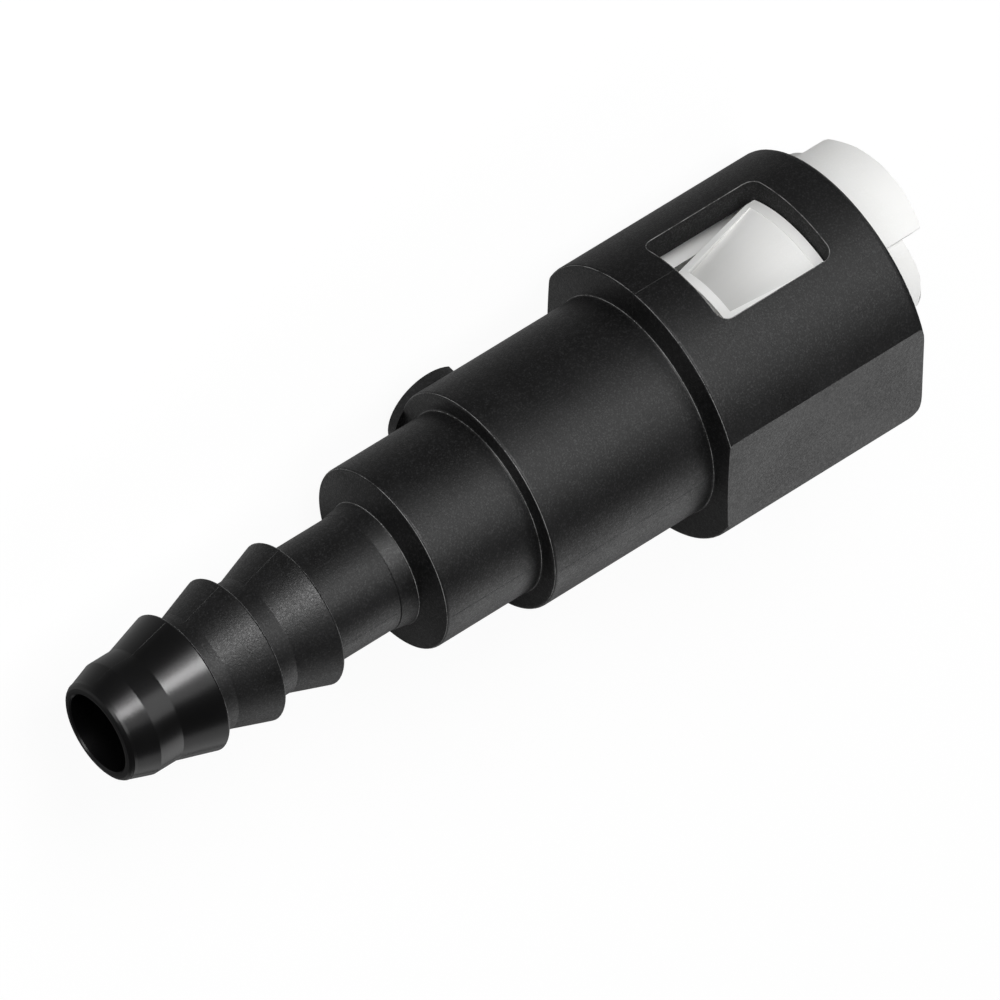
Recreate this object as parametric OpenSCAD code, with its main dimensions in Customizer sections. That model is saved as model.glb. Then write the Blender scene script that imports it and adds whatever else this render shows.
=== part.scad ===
// Straight hose adapter: a fir-tree hose barb at one end and a push-on tube socket at the other.
// The axis lies along X, from the barb tip at the origin to the mouth of the socket.
// The two windows look along Y, and the head's two flats lie above and below the axis.

/* [Hose barb] */
// Bore through the barb and the stem
bore_d = 5.6; // [4:0.1:6]
// Outside of the nose, behind its rounded lip
nose_d = 8.1; // [7.6:0.1:8.4]
// Outside of the rounded lip, at the tip
lip_d = 7.1; // [6.6:0.1:7.4]
// Length of the nose, up to the first barb
nose_len = 3.8; // [3:0.05:5]
// Largest diameter of the first barb
first_barb_d = 9.86; // [9:0.02:10.2]
// Largest diameter of the second and third barbs
barb_d = 10.3; // [9.6:0.1:11]
// Length of one barb's cone
barb_len = 3.1; // [2.6:0.05:3.8]
// Plain neck between the first and second barbs
first_neck_len = 1.25; // [0.6:0.05:1.6]
// Plain neck between the second and third barbs
second_neck_len = 1.65; // [1:0.05:2.4]
// Outside of the necks and the stem
stem_d = 8.3; // [8:0.02:9]
// Length of the stem behind the third barb
stem_len = 7.1; // [5:0.1:12]
// Length of the stem's flare, next to the small collar
stem_flare_len = 1.25; // [0.8:0.05:2]
// Height of the flare, with the small step that starts it
stem_flare_h = 0.24; // [0.1:0.02:0.4]
// Height of that step
stem_step_h = 0.06; // [0.04:0.01:0.08]

/* [Collars] */
// Diameter of the small collar
small_collar_d = 13.14; // [12:0.02:14]
// Length of the small collar
small_collar_len = 7.75; // [6:0.05:10]
// How far the small collar's front face leans forward towards the stem
collar_lean = 0.5; // [0.2:0.05:0.7]
// Diameter of the large collar
large_collar_d = 15.8; // [15.2:0.1:17]
// Length of the large collar
large_collar_len = 13.3; // [12.8:0.1:18]
// Diameter of the round front of the pad on the far side
pad_d = 6.4; // [5:0.1:7]
// Length of the pad, from its round front to its square back
pad_len = 5; // [4:0.1:6]
// Height of the pad's flat face over the large collar
pad_rise = 0.3; // [0.1:0.05:0.35]
// How far the pad stands out in front of the large collar
pad_overhang = 0.7; // [0.4:0.1:1]
// Thickness of the pad where it stands out
pad_wall = 0.7; // [0.5:0.1:0.8]

/* [Head] */
// Diameter of the head
head_d = 20; // [19.2:0.1:22]
// Length of the head
head_len = 16.15; // [15:0.05:18]
// How far the head's front face leans forward towards the large collar
head_lean = 0.2; // [0.1:0.05:0.4]
// Distance across the two flats
flats_w = 18.3; // [17.8:0.1:19]
// Width of a window, across the axis
window_w = 8.3; // [7.6:0.1:8.6]
// Length of a window, along the axis
window_len = 9.25; // [8.8:0.05:10]
// Wall from the head's front face to the windows
window_setback = 3.4; // [2.8:0.1:4]
// Corner radius of a window
window_corner_r = 0.8; // [0.4:0.1:1.6]
// Diameter of the socket that takes the retainer
socket_d = 16; // [15.6:0.1:16.4]
// Thickness of the head's front wall
front_wall = 1.8; // [1.2:0.1:2.4]

/* [Tube and seals] */
// Outside of the tube that the socket takes
tube_d = 8; // [7.6:0.1:8.4]
// Depth of the tube's nose chamber, in front of the seals
nose_chamber_len = 8.4; // [5:0.1:10]
// Diameter of the seal chamber
seal_chamber_d = 12.6; // [12.4:0.1:13]
// Section of one O-ring
o_ring_section = 2.3; // [2:0.05:2.4]
// Length of the spacer ring
spacer_len = 1.6; // [1:0.1:2.4]
// Thickness of the bushing's flange
bushing_flange_len = 1.1; // [0.8:0.1:1.4]

/* [Retainer] */
// Wall of the retainer's ring and rails
retainer_wall = 1.4; // [1:0.1:1.6]
// Height of the side rails, from the middle to their cut edge
rail_h = 5.05; // [4:0.05:5.4]
// Diameter over the hooks of the latch arms
hook_d = 16.7; // [16.4:0.1:17.4]
// Length of a hook's land along the axis
hook_len = 0.75; // [0.5:0.05:1.2]
// Length of a latch arm's sloping back
arm_len = 6.7; // [5.5:0.1:7]
// Width of a latch arm at its hook
arm_root_w = 7.5; // [7:0.1:7.6]
// Width of a latch arm at its free end
arm_end_w = 5.2; // [4:0.1:6]
// Diameter over the free ends of the latch arms
arm_end_d = 14; // [13:0.1:15]
// Width of the rims beside a latch arm's hollow back
arm_rim = 0.45; // [0.3:0.05:0.8]
// Width of the rim at the free end of the hollow
arm_end_rim = 0.6; // [0.4:0.05:0.9]
// Depth of the hollow at its free end
arm_hollow = 0.6; // [0.3:0.05:0.8]
// Diameter over the tabs
tab_d = 18; // [17.4:0.1:18.6]
// Width of a squeeze tab
tab_w = 9.6; // [8:0.1:11]
// Length of a squeeze tab past the mouth
tab_len = 3.8; // [3.2:0.1:6]
// Corner radius of a squeeze tab
tab_corner_r = 0.4; // [0.3:0.1:1]
// Radius of a squeeze tab's rounded end, seen from above the tab
tab_end_r = 20; // [15:1:40]
// Diameter over the flange
flange_d = 17.3; // [16.6:0.1:17.4]
// Width of the flange, over its rounded ends
flange_w = 15.2; // [14:0.1:16]
// Length of the flange past the mouth
flange_len = 1.75; // [1.2:0.05:3]

/* [Edges and clearances] */
// Radius of the outer edges of the moulding
edge_r = 0.22; // [0.1:0.02:0.4]
// Radius of the mouth's outer edge
mouth_edge_r = 0.45; // [0.2:0.05:0.8]
// Radius of the inner corners of the moulding
root_r = 0.15; // [0.1:0.05:0.5]
// Gap between a piece and the wall that it slides in
slide_gap = 0.1; // [0.05:0.01:0.15]
// Gap between pieces that are stacked face to face
stack_gap = 0.04; // [0.02:0.01:0.1]

/* [Hidden] */
$fn = 96;
arc_steps = 4;
over = 1;

black = [0.06, 0.06, 0.065];
white = [0.93, 0.93, 0.91];
guide_grey = [0.2, 0.2, 0.21];
seal_green = [0.1, 0.16, 0.13];

// Stations along the axis, from the barb tip
barb_1_start = nose_len;
barb_1_end = barb_1_start + barb_len;
barb_2_start = barb_1_end + first_neck_len;
barb_2_end = barb_2_start + barb_len;
barb_3_start = barb_2_end + second_neck_len;
barb_3_end = barb_3_start + barb_len;
small_collar_x = barb_3_end + stem_len;
stem_flare_x = small_collar_x - collar_lean - stem_flare_len;
large_collar_x = small_collar_x + small_collar_len;
head_x = large_collar_x + large_collar_len;
mouth_x = head_x + head_len;
window_x = head_x + window_setback;
window_end_x = window_x + window_len;

// Inside of the housing
socket_x = head_x + front_wall;
bushing_end_x = socket_x + bushing_flange_len;
bushing_len = 3.8;
bushing_x = socket_x - bushing_len;
outer_seal_x = bushing_x - stack_gap - o_ring_section / 2;
spacer_x = outer_seal_x - o_ring_section / 2 - stack_gap - spacer_len;
inner_seal_x = spacer_x - stack_gap - o_ring_section / 2;
seal_chamber_x = inner_seal_x - o_ring_section / 2 - stack_gap;
nose_chamber_x = seal_chamber_x - nose_chamber_len;
tube_hole_d = tube_d + 2 * slide_gap;
seal_r = seal_chamber_d / 2 - stack_gap - o_ring_section / 2;

// Rounded lip of the nose, and the edges of the barbs
lip_round_r = 0.5;
lip_taper_len = 2;
bore_lead_in = 0.1;
barb_edge_start = 15;

// Pad on the far side
pad_top = large_collar_d / 2 + pad_rise;
pad_x = large_collar_x - pad_overhang + pad_d / 2;
pad_end_x = large_collar_x - pad_overhang + pad_len;

// Retainer
arm_tip_gap = 0.8;
hollow_step = 0.06;
retainer_d = socket_d - 2 * slide_gap;
retainer_bore_d = retainer_d - 2 * retainer_wall;
retainer_x = bushing_end_x + stack_gap;
rail_start_x = window_x - slide_gap;
hook_end_x = window_end_x - slide_gap;
hook_x = hook_end_x - hook_len;
arm_end_x = hook_x - arm_len;
arm_tip_bore_d = tube_d + arm_tip_gap;
flange_x = mouth_x + stack_gap;

function sum_angle(from, to, i) = from + (to - from) * i / arc_steps;

// Points of an arc about [cx, cy], from one angle to another
function arc(cx, cy, r, from, to) = [
    for (i = [0:arc_steps])
        let (a = sum_angle(from, to, i))
        [cx + r * cos(a), cy + r * sin(a)]];

// Step up in a turned outline of [radius, station] points: root corner, leaning face, outer corner
function step_up(r1, r2, x, lean) = concat(
    arc(r1 + root_r, x - lean - root_r, root_r, 180, 90),
    arc(r2 - edge_r, x + edge_r, edge_r, -90, 0));

// Barb in a turned outline: its cone, its rounded edge and its square back
function barb(r1, r2, x1, x2) = concat(
    [[r1, x1]],
    arc(r2 - edge_r, x2 - edge_r, edge_r, barb_edge_start, 90),
    [[r1 + root_r / 2, x2]],
    [[r1, x2 + root_r / 2]]);

// Outline of a rounded rectangle from [x1, y1] to [x2, y2]
function round_rect(x1, y1, x2, y2, r) = concat(
    arc(x2 - r, y2 - r, r, 0, 90),
    arc(x1 + r, y2 - r, r, 90, 180),
    arc(x1 + r, y1 + r, r, 180, 270),
    arc(x2 - r, y1 + r, r, 270, 360));

// Plan of a squeeze tab as [across, station] points: rounded corners, and an end with a large radius
function tab_plan(half_w, x1, x2) =
    let (
        end_centre = x2 - tab_end_r,
        corner_across = half_w - tab_corner_r,
        swing = asin(corner_across / (tab_end_r - tab_corner_r)),
        corner_x = end_centre + (tab_end_r - tab_corner_r) * cos(swing),
        end_arc = arc(0, end_centre, tab_end_r, 90 - swing, 90 + swing))
    concat(
        [[-half_w, x1], [half_w, x1]],
        arc(corner_across, corner_x, tab_corner_r, 0, 90 - swing),
        [for (i = [1:arc_steps - 1]) end_arc[i]],
        arc(-corner_across, corner_x, tab_corner_r, 90 + swing, 180));

// Lays a solid that was turned about Z along X
module lay_down() {
    rotate([0, 90, 0]) children();
}

// Ring of two diameters between two stations
module ring(outer_d, inner_d, x1, x2) {
    translate([0, 0, x1]) difference() {
        cylinder(d = outer_d, h = x2 - x1);
        translate([0, 0, -over]) cylinder(d = inner_d, h = x2 - x1 + 2 * over);
    }
}

// Prism along Y of an outline that is drawn as [across, station] points
module plan_prism(points, half_depth) {
    rotate([90, 0, 0]) translate([0, 0, -half_depth]) linear_extrude(2 * half_depth) polygon(points);
}

module housing_outside() {
    stem_r = stem_d / 2;
    nose_r = nose_d / 2;
    flare_r = stem_r + stem_flare_h;
    rotate_extrude() polygon(concat(
        [[0, 0]],
        arc(lip_d / 2 - lip_round_r, lip_round_r, lip_round_r, -90, 0),
        [[nose_r, lip_taper_len]],
        barb(nose_r, first_barb_d / 2, barb_1_start, barb_1_end),
        barb(stem_r, barb_d / 2, barb_2_start, barb_2_end),
        barb(stem_r, barb_d / 2, barb_3_start, barb_3_end),
        [[stem_r, stem_flare_x - stem_step_h]],
        [[stem_r + stem_step_h, stem_flare_x]],
        step_up(flare_r, small_collar_d / 2, small_collar_x, collar_lean),
        step_up(small_collar_d / 2, large_collar_d / 2, large_collar_x, 0),
        step_up(large_collar_d / 2, head_d / 2, head_x, head_lean),
        arc(head_d / 2 - mouth_edge_r, mouth_x - mouth_edge_r, mouth_edge_r, 0, 90),
        [[0, mouth_x]]));
}

// Plan of the pad, round in front and square behind, as a prism between two heights
module pad_plan(height_1, height_2) {
    intersection() {
        translate([height_1, 0, pad_x]) rotate([0, 90, 0]) cylinder(d = pad_d, h = height_2 - height_1);
        translate([0, -pad_d, pad_x - pad_d]) cube([head_d, 2 * pad_d, pad_end_x - pad_x + pad_d]);
    }
}

// Flat pad on the far side of the large collar, which stands out over the small one
module far_pad() {
    root_depth = 1.5;
    pad_plan(pad_top - pad_wall, pad_top);
    intersection() {
        pad_plan(pad_top - root_depth, pad_top);
        translate([0, 0, large_collar_x + edge_r]) cylinder(d = head_d, h = large_collar_len - edge_r);
    }
}

module housing_inside() {
    lead_in = 0.4;
    rotate_extrude() polygon([
        [0, -over],
        [bore_d / 2 + bore_lead_in, -over],
        [bore_d / 2 + bore_lead_in, 0],
        [bore_d / 2, bore_lead_in],
        [bore_d / 2, nose_chamber_x],
        [tube_hole_d / 2, nose_chamber_x],
        [tube_hole_d / 2, seal_chamber_x],
        [seal_chamber_d / 2, seal_chamber_x],
        [seal_chamber_d / 2, socket_x],
        [socket_d / 2, socket_x],
        [socket_d / 2, mouth_x - lead_in],
        [socket_d / 2 + lead_in, mouth_x],
        [socket_d / 2 + lead_in, mouth_x + over],
        [0, mouth_x + over]]);
}

module head_flats() {
    for (side = [0, 180]) rotate([0, 0, side])
        translate([flats_w / 2, -head_d, head_x - over])
            cube([head_d, 2 * head_d, head_len + 2 * over]);
}

module head_windows() {
    plan_prism(round_rect(-window_w / 2, window_x, window_w / 2, window_end_x, window_corner_r), head_d);
}

module housing() {
    color(black) lay_down() difference() {
        union() {
            difference() {
                housing_outside();
                head_flats();
            }
            far_pad();
        }
        housing_inside();
        head_windows();
    }
}

// Turned wedge that both latch arms are cut from: hook land outside, tube guide inside
module arm_wedge() {
    rotate_extrude() polygon([
        [retainer_bore_d / 2, hook_end_x + over],
        [arm_tip_bore_d / 2, arm_end_x],
        [arm_end_d / 2, arm_end_x],
        [hook_d / 2, hook_x],
        [hook_d / 2, hook_end_x],
        [retainer_d / 2, hook_end_x],
        [retainer_d / 2, hook_end_x + over]]);
}

// Skin over the arms' sloping backs, which grows as deep as their hollows towards the free ends
module arm_hollows() {
    rotate_extrude() polygon([
        [arm_end_d / 2 - arm_hollow, arm_end_x],
        [hook_d / 2 + over, arm_end_x],
        [hook_d / 2 + over, hook_x],
        [hook_d / 2 - hollow_step, hook_x]]);
}

// Plan of an arm, tapered from its hook to its free end and drawn in at its sides and its end
module arm_plan(inset, end_inset) {
    plan_prism([
        [-arm_end_w / 2 + inset, arm_end_x + end_inset],
        [arm_end_w / 2 - inset, arm_end_x + end_inset],
        [arm_root_w / 2 - inset, hook_x],
        [arm_root_w / 2 - inset, hook_end_x + over],
        [-arm_root_w / 2 + inset, hook_end_x + over],
        [-arm_root_w / 2 + inset, hook_x]], head_d);
}

module latch_arms() {
    difference() {
        intersection() {
            arm_wedge();
            arm_plan(0, 0);
        }
        intersection() {
            arm_hollows();
            arm_plan(arm_rim, arm_end_rim);
        }
    }
}

// Ring and rails, open over both arms
module retainer_body() {
    difference() {
        ring(retainer_d, retainer_bore_d, retainer_x, mouth_x + 2 * stack_gap);
        for (side = [0, 180]) rotate([0, 0, side])
            translate([-retainer_d, rail_h, rail_start_x])
                cube([2 * retainer_d, retainer_d, hook_end_x - rail_start_x]);
    }
}

// Two wedges that meet at the axis, one on each side of the tube
module side_sectors(half_angle, x1, x2) {
    reach = head_d;
    for (side = [0, 180]) rotate([0, 0, side]) translate([0, 0, x1]) linear_extrude(x2 - x1)
        polygon([[0, 0], [reach * sin(half_angle), reach * cos(half_angle)],
            [-reach * sin(half_angle), reach * cos(half_angle)]]);
}

// Flange sectors and squeeze tabs, above and below the tube
module flange_and_tabs() {
    flange_gap = 4.2;
    flange_end_r = 1.5;
    difference() {
        union() {
            intersection() {
                ring(flange_d, retainer_bore_d, flange_x, mouth_x + flange_len);
                plan_prism(round_rect(-flange_w / 2, flange_x - 2 * flange_end_r, flange_w / 2,
                    mouth_x + flange_len, flange_end_r), head_d);
            }
            intersection() {
                ring(tab_d, retainer_bore_d, flange_x, mouth_x + tab_len);
                plan_prism(tab_plan(tab_w / 2, mouth_x - tab_len, mouth_x + tab_len), head_d);
                side_sectors(asin(tab_w / tab_d), mouth_x, mouth_x + tab_len + over);
            }
        }
        translate([-head_d, -flange_gap, flange_x - over])
            cube([2 * head_d, 2 * flange_gap, tab_len + 2 * over]);
    }
}

module retainer() {
    color(white) lay_down() union() {
        retainer_body();
        latch_arms();
        flange_and_tabs();
    }
}

module bushing() {
    spigot_d = seal_chamber_d - 2 * stack_gap;
    flange_d = socket_d - 2 * slide_gap;
    color(guide_grey) lay_down() rotate_extrude() polygon([
        [tube_hole_d / 2, bushing_x],
        [spigot_d / 2, bushing_x],
        [spigot_d / 2, socket_x],
        [flange_d / 2, socket_x],
        [flange_d / 2, bushing_end_x],
        [tube_hole_d / 2, bushing_end_x]]);
}

module o_ring(x) {
    color(seal_green) lay_down() translate([0, 0, x]) rotate_extrude()
        translate([seal_r, 0]) circle(d = o_ring_section, $fn = 48);
}

module outer_o_ring() {
    o_ring(outer_seal_x);
}

module spacer_ring() {
    color(guide_grey) lay_down()
        ring(seal_chamber_d - 2 * slide_gap, tube_hole_d, spacer_x, spacer_x + spacer_len);
}

module inner_o_ring() {
    o_ring(inner_seal_x);
}

housing();
retainer();
bushing();
outer_o_ring();
spacer_ring();
inner_o_ring();
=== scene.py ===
"""Looks of a hose barb to push-on tube socket adapter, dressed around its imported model.

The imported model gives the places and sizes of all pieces. This script finishes their surfaces,
adds the fine ridges that the mould's joints leave, and sets a plain studio round them.
Stations and radii are in millimetres, as in the part's source, and are turned into metres once.
"""

import logging
import math
from dataclasses import dataclass, field
from enum import Enum

import bpy
from mathutils import Matrix, Vector


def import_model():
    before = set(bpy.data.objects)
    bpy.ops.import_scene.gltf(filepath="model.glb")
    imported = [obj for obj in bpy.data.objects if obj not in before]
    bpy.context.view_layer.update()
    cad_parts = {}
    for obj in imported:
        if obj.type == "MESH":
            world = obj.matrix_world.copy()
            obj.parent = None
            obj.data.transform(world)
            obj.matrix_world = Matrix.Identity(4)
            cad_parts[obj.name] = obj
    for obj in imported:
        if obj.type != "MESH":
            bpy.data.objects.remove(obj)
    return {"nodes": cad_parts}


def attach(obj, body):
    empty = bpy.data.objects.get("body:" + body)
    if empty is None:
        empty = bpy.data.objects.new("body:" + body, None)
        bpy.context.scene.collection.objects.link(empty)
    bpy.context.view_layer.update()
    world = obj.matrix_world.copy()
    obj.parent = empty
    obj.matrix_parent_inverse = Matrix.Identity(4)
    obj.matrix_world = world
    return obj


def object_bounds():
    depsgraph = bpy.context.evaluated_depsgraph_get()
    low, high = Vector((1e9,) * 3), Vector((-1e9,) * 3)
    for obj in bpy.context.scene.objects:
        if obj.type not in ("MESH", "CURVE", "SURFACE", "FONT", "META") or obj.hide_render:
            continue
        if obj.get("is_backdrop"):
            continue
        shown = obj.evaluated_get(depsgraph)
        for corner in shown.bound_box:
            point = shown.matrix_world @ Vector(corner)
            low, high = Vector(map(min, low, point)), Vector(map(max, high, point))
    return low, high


LOG = logging.getLogger("barb_adapter")
MM = 0.001
IMAGE_SIZE = 1000

Node = bpy.types.Node
Socket = bpy.types.NodeSocket
Colour = tuple[float, float, float, float]
Point = tuple[float, float, float]


class Finish(Enum):
    """Names of the finishes."""

    HOUSING = "moulded_black_nylon"
    # Light grey of the painted highlight lines along the edges.
    EDGE_HIGHLIGHT = "painted_edge_highlight"
    RETAINER = "white_acetal"
    GUIDE = "dark_guide_nylon"
    SEAL = "green_seal_rubber"
    FLOOR = "pale_floor"


class NodeTree:
    """Adds and links nodes in one node tree.

    Attributes:
        tree: The node tree.
        MIX_INPUTS: Places of a colour mix's share and two colours among its inputs.
        MIX_RESULT: Place of its result among its outputs.
    """

    MIX_INPUTS = (0, 6, 7)
    MIX_RESULT = 2

    def __init__(self, tree: bpy.types.NodeTree) -> None:
        """Keeps the tree.

        Args:
            tree: The node tree to add to.
        """
        self.tree = tree

    def add(self, kind: str, **settings: object) -> Node:
        """Adds a node and sets its own properties.

        Args:
            kind: Type name of the node.
            **settings: Properties of the node.

        Returns:
            The new node.
        """
        node = self.tree.nodes.new(kind)
        for name, value in settings.items():
            setattr(node, name, value)
        return node

    def join(self, source: object, target: Socket) -> None:
        """Links an output to an input, or sets the input to a number.

        Args:
            source: An output socket, or the value to set.
            target: The input socket.
        """
        if isinstance(source, Socket):
            self.tree.links.new(source, target)
        else:
            target.default_value = source

    def math(self, operation: str, *values: object, clamp: bool = False) -> Socket:
        """Adds a Math node.

        Args:
            operation: Name of the operation.
            *values: Numbers or output sockets, in the order of the inputs.
            clamp: Whether the result is held between 0 and 1.

        Returns:
            Socket of the result.
        """
        node = self.add("ShaderNodeMath", operation=operation, use_clamp=clamp)
        for value, socket in zip(values, node.inputs):
            self.join(value, socket)
        return node.outputs["Value"]

    def split(self, vector: Socket) -> tuple[Socket, ...]:
        """Adds a node that splits a vector.

        Args:
            vector: Output socket of the vector.

        Returns:
            Sockets of its three coordinates.
        """
        node = self.add("ShaderNodeSeparateXYZ")
        self.join(vector, node.inputs["Vector"])
        return tuple(node.outputs)

    def product(self, factors: tuple[object, ...]) -> Socket:
        """Adds Math nodes that multiply several values.

        Args:
            factors: Numbers or output sockets.

        Returns:
            Socket of the product.
        """
        result = factors[0]
        for factor in factors[1:]:
            result = self.math("MULTIPLY", result, factor)
        return result

    def radius(self, first: Socket, second: Socket) -> Socket:
        """Adds Math nodes that give the distance from the axis.

        Args:
            first: Socket of one coordinate across the axis.
            second: Socket of the other.

        Returns:
            Socket of the distance.
        """
        squares = [self.math("POWER", value, 2.0) for value in (first, second)]
        return self.math("SQRT", self.math("ADD", *squares))

    def spread(self, value: object, low: float, high: float) -> Socket:
        """Adds a smooth Map Range node whose result goes from 0 to 1.

        Args:
            value: Output socket to map.
            low: Value at and below which the result is 0.
            high: Value at and above which it is 1.

        Returns:
            Socket of the result.
        """
        node = self.add("ShaderNodeMapRange", interpolation_type="SMOOTHSTEP")
        node.inputs["From Min"].default_value = low
        node.inputs["From Max"].default_value = high
        self.join(value, node.inputs["Value"])
        return node.outputs["Result"]

    def blend(self, share: object, first: object, second: object) -> Socket:
        """Adds a node that mixes two colours.

        Args:
            share: Output socket that gives the share of the second colour.
            first: Colour at a share of 0, or its output socket.
            second: Colour at a share of 1, or its output socket.

        Returns:
            Socket of the mixed colour.
        """
        node = self.add("ShaderNodeMix", data_type="RGBA")
        for value, place in zip((share, first, second), self.MIX_INPUTS):
            self.join(value, node.inputs[place])
        return node.outputs[self.MIX_RESULT]


@dataclass(frozen=True)
class MouldedGrain:
    """Shader node group for the skin of a moulded piece: grain, mottle, specks and glints.

    Attributes:
        name: Name of the group.
        scales: Names and first values of the inputs for the scales, per metre.
        layers: Number of finer layers in the grain and in the mottle.
        grain_rough: Share of each finer layer of the grain.
        mottle_rough: Share of each finer layer of the mottle.
        mottle_range: Values of its noise between which the mottle goes from 0 to 1.
        speck_range: Values of the cells between which the specks go from 0 to 1.
    """

    name: str = "moulded_grain"
    scales: tuple[tuple[str, float], ...] = (
        ("Grain Scale", 6000.0), ("Mottle Scale", 250.0), ("Speck Scale", 11500.0))
    layers: float = 3.0
    grain_rough: float = 0.75
    mottle_rough: float = 0.5
    mottle_range: tuple[float, float] = (0.35, 0.65)
    speck_range: tuple[float, float] = (0.5, 1.0)

    def group(self) -> bpy.types.NodeTree:
        """Builds the group once.

        Returns:
            The node group, with a Vector and three scales as inputs and four values as outputs.
        """
        found = bpy.data.node_groups.get(self.name)
        if found is not None:
            return found
        group = bpy.data.node_groups.new(self.name, "ShaderNodeTree")
        faces = group.interface
        faces.new_socket("Vector", in_out="INPUT", socket_type="NodeSocketVector")
        for name, value in self.scales:
            socket = faces.new_socket(name, in_out="INPUT", socket_type="NodeSocketFloat")
            socket.default_value = value
        for name in ("Grain", "Mottle", "Specks", "Glints"):
            faces.new_socket(name, in_out="OUTPUT", socket_type="NodeSocketFloat")
        nodes = NodeTree(group)
        start = nodes.add("NodeGroupInput")
        end = nodes.add("NodeGroupOutput")
        fine = self._noise(nodes, start, "Grain Scale", self.grain_rough)
        broad = self._noise(nodes, start, "Mottle Scale", self.mottle_rough)
        cells = nodes.add("ShaderNodeTexVoronoi")
        nodes.join(start.outputs["Vector"], cells.inputs["Vector"])
        nodes.join(start.outputs["Speck Scale"], cells.inputs["Scale"])
        shade = nodes.add("ShaderNodeRGBToBW")
        nodes.join(cells.outputs["Color"], shade.inputs["Color"])
        glints = shade.outputs["Val"]
        nodes.join(fine, end.inputs["Grain"])
        nodes.join(nodes.spread(broad, *self.mottle_range), end.inputs["Mottle"])
        nodes.join(nodes.spread(glints, *self.speck_range), end.inputs["Specks"])
        nodes.join(glints, end.inputs["Glints"])
        return group

    def _noise(self, nodes: NodeTree, start: Node, scale: str, rough: float) -> Socket:
        """Adds one noise to the group.

        Args:
            nodes: The group's nodes.
            start: The group's input node.
            scale: Name of the input that gives the noise's scale.
            rough: Share of each finer layer.

        Returns:
            Socket of the noise's value.
        """
        noise = nodes.add("ShaderNodeTexNoise")
        nodes.join(start.outputs["Vector"], noise.inputs["Vector"])
        nodes.join(start.outputs[scale], noise.inputs["Scale"])
        noise.inputs["Detail"].default_value = self.layers
        noise.inputs["Roughness"].default_value = rough
        return noise.outputs["Fac"]


@dataclass(frozen=True)
class Skin:
    """A moulded skin: base colours, roughness, grain and translucency.

    Attributes:
        finish: Name of the finish.
        dark: Base colour in the darker parts of the mottle.
        light: Base colour in the lighter parts.
        speck: Base colour of the specks.
        roughness: Mean roughness in the darker parts of the mottle.
        roughness_spread: How much the mottle adds to the roughness.
        grain_scale: Scale of the grain, per metre.
        grain_depth: Height of the grain, in metres.
        mottle_scale: Scale of the mottle, per metre.
        speck_scale: Scale of the specks and glints, per metre.
        glint_spread: Difference in roughness between the dullest and the brightest glints.
        translucency: Share of light that scatters under the skin.
        scatter_depth: Depth of that scattering, in metres.
        scatter_colour: How far red, green and blue light scatter, as shares of that depth.
    """

    finish: Finish
    dark: Colour
    light: Colour
    speck: Colour
    roughness: float
    roughness_spread: float
    grain_scale: float
    grain_depth: float
    mottle_scale: float = 250.0
    speck_scale: float = 11500.0
    glint_spread: float = 0.06
    translucency: float = 0.0
    scatter_depth: float = 0.001
    scatter_colour: Point = (1.0, 1.0, 0.9)

    def build(self) -> bpy.types.Material:
        """Makes the material.

        Returns:
            The material.
        """
        material = bpy.data.materials.new(self.finish.value)
        material.use_nodes = True
        nodes = NodeTree(material.node_tree)
        shader = material.node_tree.nodes["Principled BSDF"]
        place = nodes.add("ShaderNodeTexCoord").outputs["Object"]
        grain = nodes.add("ShaderNodeGroup", node_tree=MouldedGrain().group())
        nodes.join(place, grain.inputs["Vector"])
        grain.inputs["Grain Scale"].default_value = self.grain_scale
        grain.inputs["Mottle Scale"].default_value = self.mottle_scale
        grain.inputs["Speck Scale"].default_value = self.speck_scale
        nodes.join(self._colour(nodes, grain, place), shader.inputs["Base Color"])
        self._surface(nodes, shader, grain, place)
        shader.inputs["Subsurface Weight"].default_value = self.translucency
        shader.inputs["Subsurface Radius"].default_value = self.scatter_colour
        shader.inputs["Subsurface Scale"].default_value = self.scatter_depth
        return material

    def _colour(self, nodes: NodeTree, grain: Node, place: Socket) -> Socket:
        """Adds the base colour.

        Args:
            nodes: The material's nodes.
            grain: The grain group's node.
            place: Socket of the object coordinates.

        Returns:
            Socket of the colour.
        """
        skin = nodes.blend(grain.outputs["Mottle"], self.dark, self.light)
        return nodes.blend(self._specks(nodes, grain, place), skin, self.speck)

    def _specks(self, nodes: NodeTree, grain: Node, place: Socket) -> Socket:
        """Gives the mask of the specks.

        Args:
            nodes: The material's nodes.
            grain: The grain group's node.
            place: Socket of the object coordinates.

        Returns:
            Socket of the mask.
        """
        return grain.outputs["Specks"]

    def _roughness(self, nodes: NodeTree, grain: Node) -> Socket:
        """Adds the roughness of the grained skin.

        Args:
            nodes: The material's nodes.
            grain: The grain group's node.

        Returns:
            Socket of the roughness.
        """
        middle = self.roughness + self.glint_spread / 2
        rough = nodes.math("MULTIPLY_ADD", grain.outputs["Mottle"], self.roughness_spread, middle)
        return nodes.math("MULTIPLY_ADD", grain.outputs["Glints"], -self.glint_spread, rough)

    def _surface(self, nodes: NodeTree, shader: Node, grain: Node, place: Socket) -> None:
        """Links roughness and bump.

        Args:
            nodes: The material's nodes.
            shader: The material's shader.
            grain: The grain group's node.
            place: Socket of the object coordinates.
        """
        nodes.join(self._roughness(nodes, grain), shader.inputs["Roughness"])
        self._bump(nodes, shader, grain.outputs["Grain"])

    def _bump(self, nodes: NodeTree, shader: Node, height: Socket) -> None:
        """Links the grain's bump.

        Args:
            nodes: The material's nodes.
            shader: The material's shader.
            height: Socket of the grain's height.
        """
        bump = nodes.add("ShaderNodeBump")
        bump.inputs["Strength"].default_value = 1.0
        bump.inputs["Distance"].default_value = self.grain_depth
        nodes.join(height, bump.inputs["Height"])
        nodes.join(bump.outputs["Normal"], shader.inputs["Normal"])


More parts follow.
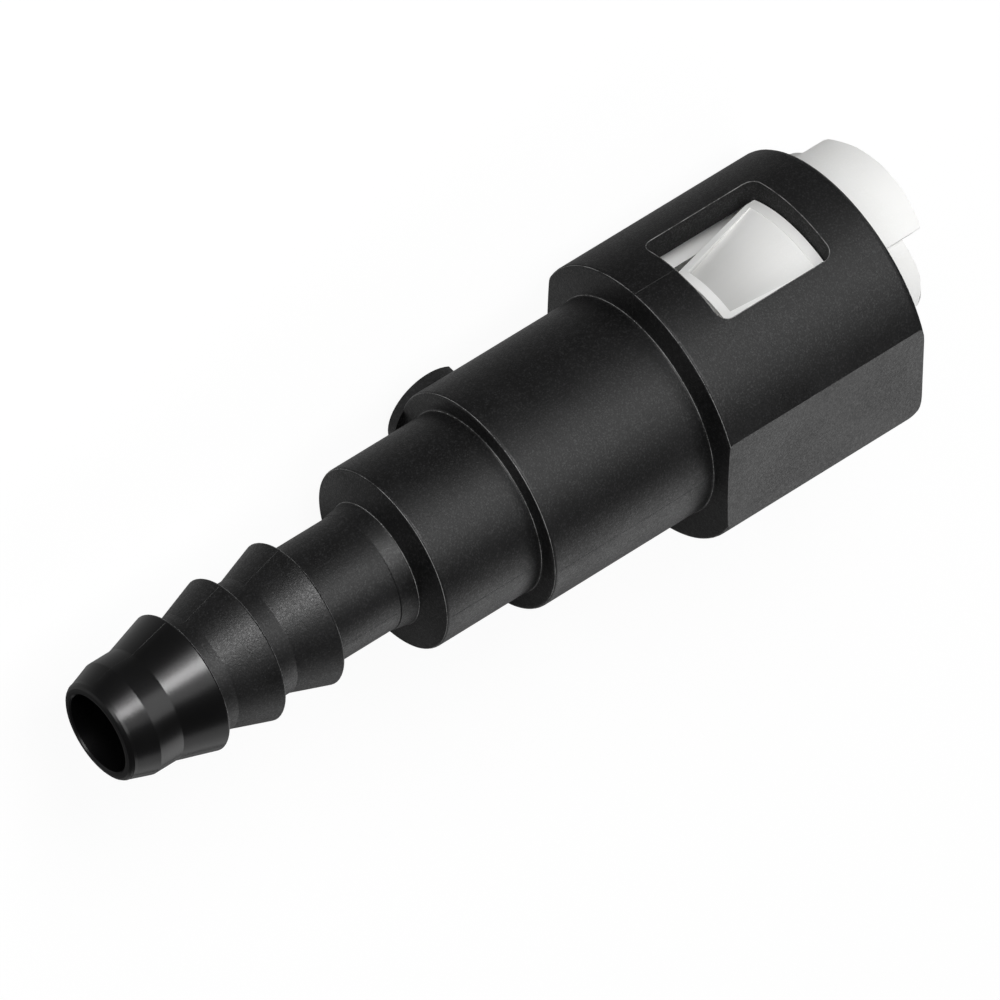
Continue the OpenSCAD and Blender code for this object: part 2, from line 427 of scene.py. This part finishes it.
@dataclass(frozen=True)
class PolishedNoseSkin(Skin):
    """The housing's skin, with a polished nose and rougher walls inside the windows.

    Attributes:
        polished_to: Station where the polish ends, in metres.
        polish_edge: Half of the length over which it ends, in metres.
        polished_roughness: Roughness of the nose.
        polished_grain: Share of the grain that is left on the nose.
        window: First and last station of the windows, in metres.
        wall_radius: Radius below which the windows' inner walls lie, in metres.
        wall_height: Distance from the middle plane below which they lie, in metres.
        wall_roughness: Roughness that the windows' inner walls have on top.
    """

    polished_to: float = 6.92 * MM
    polish_edge: float = 0.03 * MM
    polished_roughness: float = 0.26
    polished_grain: float = 0.08
    window: tuple[float, float] = (47.4 * MM, 56.9 * MM)
    wall_radius: float = 9.93 * MM
    wall_height: float = 6.0 * MM
    wall_roughness: float = 0.4

    def _grained(self, nodes: NodeTree, station: Socket) -> Socket:
        """Adds a mask of the grained part.

        Args:
            nodes: The material's nodes.
            station: Socket of the station along the axis.

        Returns:
            Socket of the mask, 0 on the polished nose.
        """
        edge = self.polish_edge
        return nodes.spread(station, self.polished_to - edge, self.polished_to + edge)

    def _specks(self, nodes: NodeTree, grain: Node, place: Socket) -> Socket:
        """Adds the mask of the specks, which the nose doesn't have.

        Args:
            nodes: The material's nodes.
            grain: The grain group's node.
            place: Socket of the object coordinates.

        Returns:
            Socket of the mask.
        """
        station = nodes.split(place)[0]
        return nodes.math("MULTIPLY", grain.outputs["Specks"], self._grained(nodes, station))

    def _surface(self, nodes: NodeTree, shader: Node, grain: Node, place: Socket) -> None:
        """Links roughness and bump, with less of both on the nose and rougher window walls.

        Args:
            nodes: The material's nodes.
            shader: The material's shader.
            grain: The grain group's node.
            place: Socket of the object coordinates.
        """
        grained = self._grained(nodes, nodes.split(place)[0])
        over = nodes.math("SUBTRACT", self._roughness(nodes, grain), self.polished_roughness)
        rough = nodes.math("MULTIPLY_ADD", over, grained, self.polished_roughness)
        walls = self._window_walls(nodes, place)
        rough = nodes.math("MULTIPLY_ADD", walls, self.wall_roughness, rough)
        nodes.join(rough, shader.inputs["Roughness"])
        share = nodes.math("MULTIPLY_ADD", grained, 1.0 - self.polished_grain, self.polished_grain)
        self._bump(nodes, shader, nodes.math("MULTIPLY", grain.outputs["Grain"], share))

    def _window_walls(self, nodes: NodeTree, place: Socket) -> Socket:
        """Adds a mask of the windows' inner walls.

        Args:
            nodes: The material's nodes.
            place: Socket of the object coordinates.

        Returns:
            Socket of the mask, 1 on the walls.
        """
        station, outward, across = nodes.split(place)
        return nodes.product((
            nodes.math("LESS_THAN", nodes.radius(outward, across), self.wall_radius),
            nodes.math("LESS_THAN", nodes.math("ABSOLUTE", across), self.wall_height),
            nodes.math("GREATER_THAN", station, self.window[0]),
            nodes.math("LESS_THAN", station, self.window[1]),
        ))


@dataclass(frozen=True)
class HollowShadeSkin(Skin):
    """The retainer's skin, with painted shade in the latch arms' hollows that darkens with their
    depth.

    Attributes:
        hollow_shade: Base colour of the painted shade at a hollow's full depth.
        arm: First and last station of an arm's sloping back, in millimetres.
        back: Radii of that back at the two stations.
        half_width: Half of the hollow's width at the two stations.
        hollow_depth: Depth of the hollow at the first station.
        depth_margin: Depth below the hollow's floor that still counts as the hollow.
        end_margin: Length at the first station that doesn't count.
        arm_side: Least distance of the back from the plane between the two arms.
    """

    # Painted shade: the colour that the hollows' floors darken to.
    hollow_shade: Colour = (0.52, 0.52, 0.51, 1.0)
    arm: tuple[float, float] = (49.25, 55.95)
    back: tuple[float, float] = (7.0, 8.35)
    half_width: tuple[float, float] = (2.17, 3.32)
    hollow_depth: float = 0.56
    depth_margin: float = 0.1
    end_margin: float = 0.05
    arm_side: float = 5.3

    def _colour(self, nodes: NodeTree, grain: Node, place: Socket) -> Socket:
        """Adds the base colour, with painted shade in the hollows, darker by their depth.

        Args:
            nodes: The material's nodes.
            grain: The grain group's node.
            place: Socket of the object coordinates.

        Returns:
            Socket of the colour.
        """
        station, outward, across = (
            nodes.math("MULTIPLY", value, 1 / MM) for value in nodes.split(place))
        across = nodes.math("ABSOLUTE", across)
        outward = nodes.math("ABSOLUTE", outward)
        radius = nodes.radius(across, outward)
        depth = nodes.math("SUBTRACT", self._along(nodes, station, self.back), radius)
        # Painted shade: the share of this colour grows with the depth below the arm's back.
        share = nodes.product((
            nodes.math("DIVIDE", depth, self.hollow_depth, clamp=True),
            nodes.math("LESS_THAN", depth, self.hollow_depth + self.depth_margin),
            nodes.math("LESS_THAN", across, self._along(nodes, station, self.half_width)),
            nodes.math("GREATER_THAN", outward, self.arm_side),
            nodes.math("GREATER_THAN", station, self.arm[0] + self.end_margin),
            nodes.math("LESS_THAN", station, self.arm[1]),
        ))
        return nodes.blend(share, super()._colour(nodes, grain, place), self.hollow_shade)

    def _along(self, nodes: NodeTree, station: Socket, ends: tuple[float, float]) -> Socket:
        """Adds a value that changes evenly along an arm.

        Args:
            nodes: The material's nodes.
            station: Socket of the station, in millimetres.
            ends: Values at the arm's two stations.

        Returns:
            Socket of the value.
        """
        slope = (ends[1] - ends[0]) / (self.arm[1] - self.arm[0])
        return nodes.math("MULTIPLY_ADD", station, slope, ends[0] - slope * self.arm[0])


@dataclass(frozen=True)
class PhotoCamera:
    """Camera at the photograph's viewing angle, given in the frame's own axes.

    Attributes:
        foreshortening: Cosine of the angle between the line of sight and the axis.
        facing: Angle from the window's direction to the sightline, seen along the axis, in degrees.
        roll: Angle of the projected axis above the horizontal, in degrees.
        scale: Pixels per millimetre at the target.
        distance: Distance from the target, in millimetres.
        target_x: Station on the axis that is placed by its pixel, in millimetres.
        pixel: Place of that station in the picture of IMAGE_SIZE pixels.
        sensor: Width of the sensor, in millimetres.
        clip: Nearest and farthest distance that the camera sees, in metres.
    """

    foreshortening: float = 0.412
    facing: float = 33.03
    roll: float = 31.493
    scale: float = 15.68
    distance: float = 1200.0
    target_x: float = 29.65
    pixel: tuple[float, float] = (462.23, 510.47)
    sensor: float = 36.0
    clip: tuple[float, float] = (0.05, 20.0)

    def build(self) -> bpy.types.Object:
        """Makes the camera and sets it as the scene's.

        Returns:
            The camera object.
        """
        across = math.sqrt(1 - self.foreshortening**2)
        turn = math.radians(self.facing)
        back = Vector((-self.foreshortening, across * math.cos(turn), across * math.sin(turn)))
        along = (Vector((1, 0, 0)) + self.foreshortening * back).normalized()
        aside = back.cross(along)
        roll = math.radians(self.roll)
        right = along * math.cos(roll) - aside * math.sin(roll)
        up = along * math.sin(roll) + aside * math.cos(roll)
        half = IMAGE_SIZE / 2
        shift_right = (half - self.pixel[0]) / self.scale
        shift_up = (self.pixel[1] - half) / self.scale
        target = Vector((self.target_x, 0, 0)) + right * shift_right + up * shift_up
        data = bpy.data.cameras.new("photo_camera")
        data.sensor_width = self.sensor
        data.lens = self.sensor * self.distance / (IMAGE_SIZE / self.scale)
        data.clip_start, data.clip_end = self.clip
        camera = bpy.data.objects.new("photo_camera", data)
        place = (target + back * self.distance) * MM
        turned = Matrix((right, up, back)).transposed().to_4x4()
        camera.matrix_world = Matrix.Translation(place) @ turned
        bpy.context.scene.collection.objects.link(camera)
        bpy.context.scene.camera = camera
        return camera


@dataclass(frozen=True)
class RidgePath:
    """One fine ridge or painted highlight line, as the path that it follows on the moulding.

    Attributes:
        points: Points of the path, in millimetres.
        closed: Whether the path ends where it starts.
    """

    points: list[Point]
    closed: bool = False


@dataclass(frozen=True)
class RidgeSweep:
    """Geometry Nodes group that sweeps a small circle along the edges of a mesh.

    Attributes:
        name: Name of the group.
        sides: Number of a ridge's sides.
    """

    name: str = "mould_ridge"
    sides: int = 8

    def group(self) -> bpy.types.NodeTree:
        """Builds the group once.

        Returns:
            The node group, with a radius, a number of sides and a material as inputs.
        """
        found = bpy.data.node_groups.get(self.name)
        if found is not None:
            return found
        tree = bpy.data.node_groups.new(self.name, "GeometryNodeTree")
        faces = tree.interface
        faces.new_socket("Geometry", in_out="INPUT", socket_type="NodeSocketGeometry")
        faces.new_socket("Ridge Radius", in_out="INPUT", socket_type="NodeSocketFloat")
        faces.new_socket("Ridge Sides", in_out="INPUT", socket_type="NodeSocketInt")
        faces.new_socket("Ridge Material", in_out="INPUT", socket_type="NodeSocketMaterial")
        faces.new_socket("Geometry", in_out="OUTPUT", socket_type="NodeSocketGeometry")
        nodes = NodeTree(tree)
        start = nodes.add("NodeGroupInput")
        end = nodes.add("NodeGroupOutput")
        curve = nodes.add("GeometryNodeMeshToCurve")
        circle = nodes.add("GeometryNodeCurvePrimitiveCircle")
        swept = nodes.add("GeometryNodeCurveToMesh")
        swept.inputs["Fill Caps"].default_value = True
        real = nodes.add("GeometryNodeRealizeInstances")
        dressed = nodes.add("GeometryNodeSetMaterial")
        nodes.join(start.outputs["Geometry"], curve.inputs["Mesh"])
        nodes.join(start.outputs["Ridge Sides"], circle.inputs["Resolution"])
        nodes.join(start.outputs["Ridge Radius"], circle.inputs["Radius"])
        nodes.join(curve.outputs["Curve"], swept.inputs["Curve"])
        nodes.join(circle.outputs["Curve"], swept.inputs["Profile Curve"])
        nodes.join(swept.outputs["Mesh"], real.inputs["Geometry"])
        nodes.join(real.outputs["Geometry"], dressed.inputs["Geometry"])
        nodes.join(start.outputs["Ridge Material"], dressed.inputs["Material"])
        nodes.join(dressed.outputs["Geometry"], end.inputs["Geometry"])
        return tree

    def apply(
        self, paths: bpy.types.Object, name: str, radius: float, material: bpy.types.Material
    ) -> bpy.types.Object:
        """Turns the edges of an object into ridges and removes the object.

        Args:
            paths: Object whose edges are the paths.
            name: Name of the new object.
            radius: Radius of the ridges, in millimetres.
            material: Material of the ridges.

        Returns:
            A plain mesh object of the ridges.
        """
        modifier = paths.modifiers.new("ridges", "NODES")
        modifier.node_group = self.group()
        sockets = modifier.node_group.interface.items_tree
        modifier[sockets["Ridge Radius"].identifier] = radius * MM
        modifier[sockets["Ridge Sides"].identifier] = self.sides
        modifier[sockets["Ridge Material"].identifier] = material
        graph = bpy.context.evaluated_depsgraph_get()
        mesh = bpy.data.meshes.new_from_object(paths.evaluated_get(graph), depsgraph=graph)
        bpy.data.objects.remove(paths)
        mesh.name = name
        ridges = bpy.data.objects.new(name, mesh)
        bpy.context.scene.collection.objects.link(ridges)
        return ridges


@dataclass(frozen=True)
class MouldRidgesAndHighlights:
    """Ridges that the joints between the mould's parts leave on the housing, and painted highlight
    lines along its edges and root fillets.

    Attributes:
        ridge_radius: Radius of a ridge, in millimetres.
        sink: Depth of the nose's and the body's joints below the skin, which hides part of a ridge.
        split_angle: Angle of the nose's joint past the windows' middle, in degrees.
        head_angle: Angle of the head's joint, in degrees.
        cross_angle: Angle of the cross joint, in degrees.
        nose: Outline of the nose and the barbs, as stations and radii.
        body: Outlines of the stem and the collars, as stations and radii.
        highlight_radius: Radius of the painted highlight lines, in millimetres.
        highlight_rings: Stations and radii of the edges and root fillets with painted highlight
            rings.
        ring_steps: Number of steps in a whole ring.
        arc_steps: Number of steps in a ring's arc between the flats.
        flat_height: Height of the flats above the axis.
        head_radius: Radius of the head.
        head_start: Station of the head's front face.
        head_edge: Radius of the edge between that face and the head's side.
        head_edge_middle: Distance of the middle of that edge from the face and from the side.
        head_foot: Distance of the joint's start from the face, and its radius.
        window: First and last station of a window.
        window_half_width: Half of a window's width.
        window_corner: Corner radius of a window.
        corner_steps: Number of steps in such a corner.
        side_steps: Number of steps in a window's side across the axis.
    """

    ridge_radius: float = 0.035
    sink: float = 0.028
    split_angle: float = -17.0
    head_angle: float = -4.0
    cross_angle: float = 89.0
    nose: tuple[tuple[float, float], ...] = (
        (0.9, 3.68), (2.0, 4.05), (3.8, 4.05), (6.62, 4.9), (6.75, 4.92), (6.87, 4.84), (6.9, 4.7),
        (6.9, 4.13), (6.98, 4.05), (8.15, 4.15), (10.97, 5.11), (11.1, 5.14), (11.22, 5.05),
        (11.25, 4.92), (11.25, 4.23), (11.33, 4.15), (12.9, 4.15), (15.72, 5.11), (15.85, 5.14),
        (15.97, 5.05), (16.0, 4.92), (16.0, 4.3))
    body: tuple[tuple[tuple[float, float], ...], ...] = (
        ((16.2, 4.15), (21.2, 4.15)),
        ((23.4, 6.57), (30.6, 6.57)),
        ((31.2, 7.9), (43.7, 7.9)))
    # Light grey rings on edges and root fillets are painted highlights.
    highlight_radius: float = 0.026
    highlight_rings: tuple[tuple[float, float], ...] = (
        (6.85, 4.82), (11.2, 5.04), (15.95, 5.04), (22.56, 4.43), (23.175, 6.495), (30.81, 6.61),
        (30.925, 7.825), (43.91, 7.94), (44.225, 9.925))
    ring_steps: int = 144
    arc_steps: int = 48
    flat_height: float = 9.15
    head_radius: float = 10.0
    head_start: float = 44.15
    head_edge: float = 0.22
    head_edge_middle: float = 0.06
    head_foot: tuple[float, float] = (0.18, 8.15)
    window: tuple[float, float] = (47.55, 56.8)
    window_half_width: float = 4.15
    window_corner: float = 0.8
    corner_steps: int = 6
    side_steps: int = 12

    def build(self, skin: bpy.types.Material, highlight: bpy.types.Material) -> list[bpy.types.Object]:
        """Makes the joints' ridges and the painted highlight lines along the edges.

        Args:
            skin: Material of the ridges.
            highlight: Material of the painted highlight lines.

        Returns:
            The two objects, which ride on the root.
        """
        ridges: list[RidgePath] = []
        edges: list[RidgePath] = []
        for side in (0.0, 180.0):
            ridges.append(RidgePath(self._turned(self.nose, side + self.split_angle)))
            ridges.extend(
                RidgePath(self._turned(outline, side + self.cross_angle)) for outline in self.body)
            ridges.append(RidgePath(self._head_joint(side)))
            # Painted highlight line round the window's outer edge.
            edges.append(RidgePath(self._window_edge(side), closed=True))
        # Painted highlight rings on the collars' edges and root fillets.
        for station, radius in self.highlight_rings:
            edges.extend(self._ring(station, radius))
        return [
            self._mesh("mould_ridges", ridges, self.ridge_radius, skin),
            self._mesh("painted_highlight_lines", edges, self.highlight_radius, highlight),
        ]

    def _ring(self, station: float, radius: float) -> list[RidgePath]:
        """Gives the paths of a ring, which ends where the flats cut it.

        Args:
            station: Station of the ring.
            radius: Radius of the ring.

        Returns:
            One closed path, or two arcs.
        """
        if radius < self.flat_height:
            angles = [360.0 * step / self.ring_steps for step in range(self.ring_steps)]
            return [RidgePath([self._at(station, radius, angle) for angle in angles], closed=True)]
        reach = math.degrees(math.asin(self.flat_height / radius))
        angles = [reach * (2 * step / self.arc_steps - 1) for step in range(self.arc_steps + 1)]
        return [
            RidgePath([self._at(station, radius, side + angle) for angle in angles])
            for side in (0.0, 180.0)
        ]

    def _mesh(
        self, name: str, lines: list[RidgePath], radius: float, material: bpy.types.Material
    ) -> bpy.types.Object:
        """Makes a set of lines as one mesh.

        Args:
            name: Name of the object.
            lines: Paths of the lines.
            radius: Radius of the lines, in millimetres.
            material: Material of the lines.

        Returns:
            The object, which rides on the root.
        """
        mesh = bpy.data.meshes.new(name)
        points: list[Point] = []
        edges: list[tuple[int, int]] = []
        for line in lines:
            first = len(points)
            points.extend(tuple(value * MM for value in point) for point in line.points)
            last = len(points) - 1
            edges.extend((index, index + 1) for index in range(first, last))
            if line.closed:
                edges.append((last, first))
        mesh.from_pydata(points, edges, [])
        paths = bpy.data.objects.new(name + "_paths", mesh)
        bpy.context.scene.collection.objects.link(paths)
        ridges = RidgeSweep().apply(paths, name, radius, material)
        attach(ridges, "root")
        return ridges

    @staticmethod
    def _at(station: float, radius: float, angle: float) -> Point:
        """Gives a point on the moulding.

        Args:
            station: Station along the axis.
            radius: Distance from the axis.
            angle: Angle from the near window's direction, in degrees.

        Returns:
            The point.
        """
        turn = math.radians(angle)
        return (station, radius * math.cos(turn), radius * math.sin(turn))

    def _turned(self, outline: tuple[tuple[float, float], ...], angle: float) -> list[Point]:
        """Gives the path of an outline at one angle round the axis, sunk below the skin.

        Args:
            outline: Stations and radii.
            angle: Angle from the windows' direction, in degrees.

        Returns:
            Points of the path.
        """
        return [self._at(station, radius - self.sink, angle) for station, radius in outline]

    def _head_joint(self, side: float) -> list[Point]:
        """Gives the path up the head's front face and along its side to the window.

        Past the face's foot the path isn't sunk, so the sink that is taken off is added first.

        Args:
            side: Angle of the window's direction, in degrees.

        Returns:
            Points of the path.
        """
        start, top = self.head_start, self.head_radius + self.sink
        edge, middle = self.head_edge, self.head_edge_middle
        back, foot = self.head_foot
        outline = ((start - back, foot), (start, top - edge), (start + middle, top - middle),
                   (start + edge, top), (self.window[0], top))
        return self._turned(outline, side + self.head_angle)

    def _window_edge(self, side: float) -> list[Point]:
        """Gives the path round a window's outer edge.

        Args:
            side: Angle of the window's direction, in degrees.

        Returns:
            Points of the closed path.
        """
        corner = self.window_corner
        ends = (self.window[0] + corner, self.window[1] - corner)
        half = self.window_half_width - corner
        centres = (
            (ends[1], half, 0), (ends[0], half, 90), (ends[0], -half, 180), (ends[1], -half, 270))
        flat: list[tuple[float, float]] = []
        for station, across, from_angle in centres:
            for step in range(self.corner_steps + 1):
                turn = math.radians(from_angle + 90 * step / self.corner_steps)
                flat.append((station + corner * math.cos(turn), across + corner * math.sin(turn)))
        points: list[Point] = []
        for (x1, across1), (x2, across2) in zip(flat, flat[1:] + flat[:1]):
            pieces = self.side_steps if abs(across2 - across1) > corner else 1
            for piece in range(pieces):
                share = piece / pieces
                across = across1 + (across2 - across1) * share
                angle = side + math.degrees(math.asin(across / self.head_radius))
                points.append(self._at(x1 + (x2 - x1) * share, self.head_radius, angle))
        return points


@dataclass(frozen=True)
class SoftBox:
    """A soft rectangular lamp that looks at the object.

    Attributes:
        name: Name of the lamp.
        direction: Direction of the lamp, seen from the object.
        distance: Distance from the object, in metres.
        width: Width, in metres.
        height: Height, in metres.
        brightness: Brightness of its face, where 1 is white.
    """

    name: str
    direction: Point
    distance: float
    width: float
    height: float
    brightness: float

    def build(self, target: Vector) -> bpy.types.Object:
        """Makes the lamp.

        Args:
            target: Point that the lamp looks at.

        Returns:
            The lamp object.
        """
        data = bpy.data.lights.new(self.name, "AREA")
        data.shape = "RECTANGLE"
        data.size = self.width
        data.size_y = self.height
        data.energy = self.brightness * math.pi * self.width * self.height
        lamp = bpy.data.objects.new(self.name, data)
        away = Vector(self.direction).normalized()
        turned = away.to_track_quat("Z", "Y").to_matrix().to_4x4()
        lamp.matrix_world = Matrix.Translation(target + away * self.distance) @ turned
        bpy.context.scene.collection.objects.link(lamp)
        return lamp


@dataclass(frozen=True)
class Studio:
    """Pale floor, soft lamps and a surround that is white to the camera.

    Attributes:
        floor_z: Height of the floor, in metres.
        target: Point that the lamps look at.
        floor_size: Side of the square floor, in metres.
        floor_grey: Grey of the floor, as it lights the object.
        lamp_level: Brightness that the lamps give to a white floor.
        surround: Brightness of the surround, as it lights the object.
        gloss_share: Share of the white that glossy rays see in the surround.
        floor_gloss: Share of the white that glossy rays see on the floor, by the place across
            the axis in millimetres.
        lamps: The soft lamps.
    """

    floor_z: float
    target: Vector
    floor_size: float = 6.0
    floor_grey: float = 0.14
    lamp_level: float = 0.6
    surround: float = 0.05
    gloss_share: float = 0.01
    floor_gloss: tuple[tuple[float, float], ...] = (
        (-150.0, 0.25), (-60.0, 0.22), (-35.0, 0.05), (-6.0, 0.01), (-1.0, 0.3), (3.0, 0.28),
        (7.0, 0.18), (11.0, 0.02))
    lamps: tuple[SoftBox, ...] = (
        SoftBox("main_lamp", (-0.19, 0.89, 0.42), 0.6, 0.18, 0.18, 15.0),
        SoftBox("wide_lamp", (0.2, 0.71, 0.68), 0.62, 0.62, 0.48, 1.7),
        SoftBox("front_lamp", (-0.2, 0.98, 0.0), 0.64, 0.24, 0.3, 0.9),
        SoftBox("skirt_lamp", (-0.2, 0.96, 0.2), 0.62, 0.24, 0.13, 2.2),
        SoftBox("low_lamp", (0.26, -0.8, 0.5), 0.6, 0.6, 0.56, 0.64),
        SoftBox("tail_lamp", (0.55, -0.72, 0.45), 0.62, 0.3, 0.56, 0.66),
        SoftBox("side_lamp", (-0.88, 0.44, 0.18), 0.6, 0.2, 0.2, 4.0),
        SoftBox("mouth_lamp", (0.72, 0.68, 0.14), 0.6, 0.4, 0.4, 0.95),
        SoftBox("arm_lamp", (-0.62, 0.78, 0.1), 0.6, 0.3, 0.3, 2.0),
    )

    def build(self) -> None:
        """Makes the floor, the surround and the lamps."""
        self._floor()
        self._surround()
        for lamp in self.lamps:
            lamp.build(self.target)
            LOG.info("lamp %s", lamp.name)

    def _white(self, nodes: NodeTree, gloss: object) -> Socket:
        """Adds the share of white for the rays that see the background.

        Args:
            nodes: Nodes of the floor's material or of the surround.
            gloss: Share of the white that glossy rays see, as a number or a socket.

        Returns:
            Socket of the share, 1 for the camera's rays and for rays through clear things.
        """
        path = nodes.add("ShaderNodeLightPath")
        straight = (path.outputs["Is Camera Ray"], path.outputs["Is Transmission Ray"])
        seen = nodes.math("MAXIMUM", *straight)
        return nodes.math("MULTIPLY_ADD", path.outputs["Is Glossy Ray"], gloss, seen, clamp=True)

    def _floor(self) -> None:
        """Makes the floor and marks it as stage."""
        half = self.floor_size / 2
        corners = [(-half, -half), (half, -half), (half, half), (-half, half)]
        mesh = bpy.data.meshes.new("floor")
        mesh.from_pydata([(x, y, self.floor_z) for x, y in corners], [], [(0, 1, 2, 3)])
        floor = bpy.data.objects.new("floor", mesh)
        bpy.context.scene.collection.objects.link(floor)
        material = bpy.data.materials.new(Finish.FLOOR.value)
        material.use_nodes = True
        nodes = NodeTree(material.node_tree)
        shader = material.node_tree.nodes["Principled BSDF"]
        grey = self.floor_grey
        shader.inputs["Base Color"].default_value = (grey, grey, grey, 1.0)
        shader.inputs["Roughness"].default_value = 1.0
        shader.inputs["Specular IOR Level"].default_value = 0.0
        shader.inputs["Emission Color"].default_value = (1.0, 1.0, 1.0, 1.0)
        white = self._white(nodes, self._floor_gloss(nodes))
        glow = nodes.math("MULTIPLY", white, 1.0 - grey * self.lamp_level)
        nodes.join(glow, shader.inputs["Emission Strength"])
        floor.data.materials.append(material)
        floor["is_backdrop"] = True

    def _floor_gloss(self, nodes: NodeTree) -> Socket:
        """Adds the floor's brightness to glossy rays, which changes across the axis.

        Args:
            nodes: Nodes of the floor's material.

        Returns:
            Socket of the brightness.
        """
        place_y = nodes.split(nodes.add("ShaderNodeTexCoord").outputs["Object"])[1]
        first = self.floor_gloss[0][0]
        span = self.floor_gloss[-1][0] - first
        across = nodes.math("MULTIPLY_ADD", place_y, 1 / (MM * span), -first / span)
        ramp = nodes.add("ShaderNodeValToRGB")
        stops = ramp.color_ramp.elements
        while len(stops) < len(self.floor_gloss):
            stops.new(0.5)
        for stop, (place, share) in zip(stops, self.floor_gloss):
            stop.position = (place - first) / span
            stop.color = (share, share, share, 1.0)
        nodes.join(across, ramp.inputs["Fac"])
        return ramp.outputs["Color"]

    def _surround(self) -> None:
        """Makes a world that is white to the camera and dim to the object."""
        world = bpy.data.worlds.new("studio_surround")
        world.use_nodes = True
        nodes = NodeTree(world.node_tree)
        background = world.node_tree.nodes["Background"]
        background.inputs["Color"].default_value = (1.0, 1.0, 1.0, 1.0)
        white = self._white(nodes, self.gloss_share)
        strength = nodes.math("MULTIPLY_ADD", white, 1.0 - self.surround, self.surround)
        nodes.join(strength, background.inputs["Strength"])
        bpy.context.scene.world = world


@dataclass(frozen=True)
class Adapter:
    """The adapter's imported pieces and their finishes.

    Attributes:
        nodes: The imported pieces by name.
        skins: Finish of each piece.
    """

    nodes: dict[str, bpy.types.Object]
    skins: dict[str, Finish] = field(default_factory=lambda: {
        "housing": Finish.HOUSING,
        "retainer": Finish.RETAINER,
        "bushing": Finish.GUIDE,
        "spacer_ring": Finish.GUIDE,
        "outer_o_ring": Finish.SEAL,
        "inner_o_ring": Finish.SEAL,
    })

    def materials(self) -> dict[Finish, bpy.types.Material]:
        """Makes the finishes.

        Returns:
            The material of each finish.
        """
        skins = (
            PolishedNoseSkin(
                Finish.HOUSING, dark=(0.002, 0.002, 0.0021, 1.0), light=(0.0036, 0.0036, 0.0038, 1.0),
                speck=(0.022, 0.022, 0.0225, 1.0), roughness=0.39, roughness_spread=0.05,
                grain_scale=7600.0, grain_depth=0.00002, glint_spread=0.2),
            # Light grey of the painted highlight lines.
            Skin(
                Finish.EDGE_HIGHLIGHT, dark=(0.04, 0.04, 0.04, 1.0), light=(0.24, 0.24, 0.24, 1.0),
                speck=(0.3, 0.3, 0.3, 1.0), roughness=0.4, roughness_spread=0.1,
                grain_scale=9000.0, grain_depth=0.000004, mottle_scale=700.0),
            # The retainer carries painted shade in the latch arms' hollows.
            HollowShadeSkin(
                Finish.RETAINER, dark=(0.88, 0.88, 0.865, 1.0), light=(0.91, 0.91, 0.897, 1.0),
                speck=(0.91, 0.91, 0.897, 1.0), roughness=0.5, roughness_spread=0.06,
                grain_scale=5000.0, grain_depth=0.000004, translucency=0.06, scatter_depth=0.0008),
            Skin(
                Finish.GUIDE, dark=(0.04, 0.04, 0.042, 1.0), light=(0.06, 0.06, 0.062, 1.0),
                speck=(0.07, 0.07, 0.072, 1.0), roughness=0.38, roughness_spread=0.08,
                grain_scale=5000.0, grain_depth=0.00001),
            Skin(
                Finish.SEAL, dark=(0.022, 0.04, 0.032, 1.0), light=(0.034, 0.056, 0.046, 1.0),
                speck=(0.04, 0.06, 0.05, 1.0), roughness=0.5, roughness_spread=0.1,
                grain_scale=4000.0, grain_depth=0.000008),
        )
        return {skin.finish: skin.build() for skin in skins}

    def build(self) -> None:
        """Dresses each piece and adds the mould's ridges and the painted highlight lines."""
        materials = self.materials()
        for name, finish in self.skins.items():
            slots = self.nodes[name].data.materials
            slots.clear()
            slots.append(materials[finish])
            LOG.info("dressed %s in %s", name, finish.value)
        for made in MouldRidgesAndHighlights().build(materials[Finish.HOUSING], materials[Finish.EDGE_HIGHLIGHT]):
            LOG.info("made %s with %d faces", made.name, len(made.data.polygons))


def main() -> None:
    """Builds the scene in order and reports each piece."""
    logging.basicConfig(level=logging.INFO)
    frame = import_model()
    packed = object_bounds()
    PhotoCamera().build()
    Adapter(frame["nodes"]).build()
    middle = (packed[0] + packed[1]) / 2
    Studio(packed[0].z, Vector((middle.x, 0.0, 0.0))).build()
    bpy.context.scene.view_settings.view_transform = "Standard"


if __name__ == "__main__":
    main()
